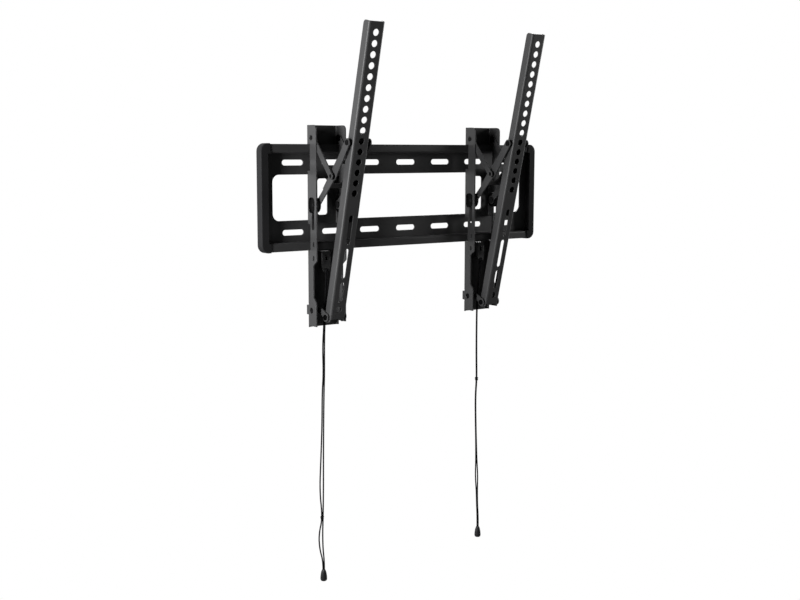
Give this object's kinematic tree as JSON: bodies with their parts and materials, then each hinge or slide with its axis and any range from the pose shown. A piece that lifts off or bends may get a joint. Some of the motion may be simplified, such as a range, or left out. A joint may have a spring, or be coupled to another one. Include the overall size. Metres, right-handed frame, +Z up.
{
  "type": "tilting television wall bracket",
  "caption": "Tilting television wall bracket: a slotted wall plate with hook-on channels, drilled tilt arms on scissor links and spring latches with pull cords.",
  "frame": {"origin": "middle of the wall plate on the wall plane, at the centre of the outer wall slots", "axes": "+X to the right along the wall seen from the room, +Y into the wall, +Z up; the television is on the -Y side"},
  "size_m": [0.523, 0.1446, 0.8253],
  "materials": {
    "steel_black": "matt black powder coat",
    "cap_plastic": "fine matt black moulding",
    "steel_blackened": "dull zinc plate",
    "spring_steel": "bright wire",
    "nylon_black": "matt nylon",
    "cord_black": "braided cord",
    "pull_plastic": "matt moulding"
  },
  "bodies": {
    "plate": {"wall_plate": "steel_black", "end_cap_left": "cap_plastic", "end_cap_right": "cap_plastic"},
    "left_bracket": {"left_bracket_channel": "steel_black", "left_top_pivot_rivets": "steel_blackened", "left_latch_spring": "spring_steel"},
    "left_short_links": {"left_short_link_a": "steel_black", "left_short_link_b": "steel_black", "left_cross_pivot_rivets": "steel_blackened"},
    "left_scissor": {"left_scissor_frame": "steel_black", "left_slider_studs": "steel_blackened", "left_slider_bushes": "nylon_black", "left_arm_pivot_pin": "steel_blackened", "left_arm_pivot_spacers": "steel_blackened"},
    "left_arm": {"left_tv_arm": "steel_black", "left_foot_pin": "steel_blackened", "left_foot_washers": "steel_blackened"},
    "left_lower_links": {"left_lower_link_a": "steel_black", "left_lower_link_b": "steel_black", "left_lower_pivot_pins": "steel_blackened"},
    "left_latch": {"left_latch_plate": "steel_black", "left_pull_cord_a": "cord_black", "left_pull_cord_b": "cord_black", "left_pull_tab": "pull_plastic"},
    "right_bracket": {"right_bracket_channel": "steel_black", "right_top_pivot_rivets": "steel_blackened", "right_latch_spring": "spring_steel"},
    "right_short_links": {"right_short_link_a": "steel_black", "right_short_link_b": "steel_black", "right_cross_pivot_rivets": "steel_blackened"},
    "right_scissor": {"right_scissor_frame": "steel_black", "right_slider_studs": "steel_blackened", "right_slider_bushes": "nylon_black", "right_arm_pivot_pin": "steel_blackened", "right_arm_pivot_spacers": "steel_blackened"},
    "right_arm": {"right_tv_arm": "steel_black", "right_foot_pin": "steel_blackened", "right_foot_washers": "steel_blackened"},
    "right_lower_links": {"right_lower_link_a": "steel_black", "right_lower_link_b": "steel_black", "right_lower_pivot_pins": "steel_blackened"},
    "right_latch": {"right_latch_plate": "steel_black", "right_pull_cord_a": "cord_black", "right_pull_cord_b": "cord_black", "right_pull_tab": "pull_plastic"}
  },
  "joints": [
    {"name": "left_bracket_slide", "type": "slide", "parent": "plate", "child": "left_bracket", "axis": [1, 0, 0], "range_m": [-0.065, 0.11]},
    {"name": "left_tilt", "type": "hinge", "parent": "left_bracket", "child": "left_short_links", "pos_m": [-0.154, -0.015, 0.086], "axis": [1, 0, 0], "range_deg": [0, 28]},
    {"name": "left_cross_pivot", "type": "hinge", "parent": "left_short_links", "child": "left_scissor", "pos_m": [-0.154, -0.06224, 0.03166], "axis": [1, 0, 0], "range_deg": [-61.8, 0]},
    {"name": "left_arm_pivot", "type": "hinge", "parent": "left_scissor", "child": "left_arm", "pos_m": [-0.154, -0.09742, 0.07897], "axis": [1, 0, 0], "range_deg": [0, 21.8]},
    {"name": "left_foot_pivot", "type": "hinge", "parent": "left_arm", "child": "left_lower_links", "pos_m": [-0.154, -0.03538, -0.17383], "axis": [1, 0, 0], "range_deg": [0, 48.3]},
    {"name": "left_latch_slide", "type": "slide", "parent": "left_bracket", "child": "left_latch", "axis": [0, 0, 1], "range_m": [-0.012, 0], "stiffness_N_per_m": 300, "springref_m": 0.005, "deforming": ["left_latch_spring"]},
    {"name": "right_bracket_slide", "type": "slide", "parent": "plate", "child": "right_bracket", "axis": [1, 0, 0], "range_m": [-0.097, 0.0755]},
    {"name": "right_tilt", "type": "hinge", "parent": "right_bracket", "child": "right_short_links", "pos_m": [0.1434, -0.015, 0.086], "axis": [1, 0, 0], "range_deg": [0, 28]},
    {"name": "right_cross_pivot", "type": "hinge", "parent": "right_short_links", "child": "right_scissor", "pos_m": [0.1434, -0.06224, 0.03166], "axis": [1, 0, 0], "range_deg": [-61.8, 0]},
    {"name": "right_arm_pivot", "type": "hinge", "parent": "right_scissor", "child": "right_arm", "pos_m": [0.1434, -0.09742, 0.07897], "axis": [1, 0, 0], "range_deg": [0, 21.8]},
    {"name": "right_foot_pivot", "type": "hinge", "parent": "right_arm", "child": "right_lower_links", "pos_m": [0.1434, -0.03538, -0.17383], "axis": [1, 0, 0], "range_deg": [0, 48.3]},
    {"name": "right_latch_slide", "type": "slide", "parent": "right_bracket", "child": "right_latch", "axis": [0, 0, 1], "range_m": [-0.012, 0], "stiffness_N_per_m": 300, "springref_m": 0.005, "deforming": ["right_latch_spring"]}
  ],
  "couplings": [
    {"joint": "left_cross_pivot", "follows": "left_tilt", "ratio": -2.2041},
    {"joint": "left_arm_pivot", "follows": "left_tilt", "ratio": 0.7751},
    {"joint": "left_foot_pivot", "follows": "left_tilt", "ratio": 1.7229},
    {"joint": "right_cross_pivot", "follows": "right_tilt", "ratio": -2.2041},
    {"joint": "right_arm_pivot", "follows": "right_tilt", "ratio": 0.7751},
    {"joint": "right_foot_pivot", "follows": "right_tilt", "ratio": 1.7229}
  ]
}
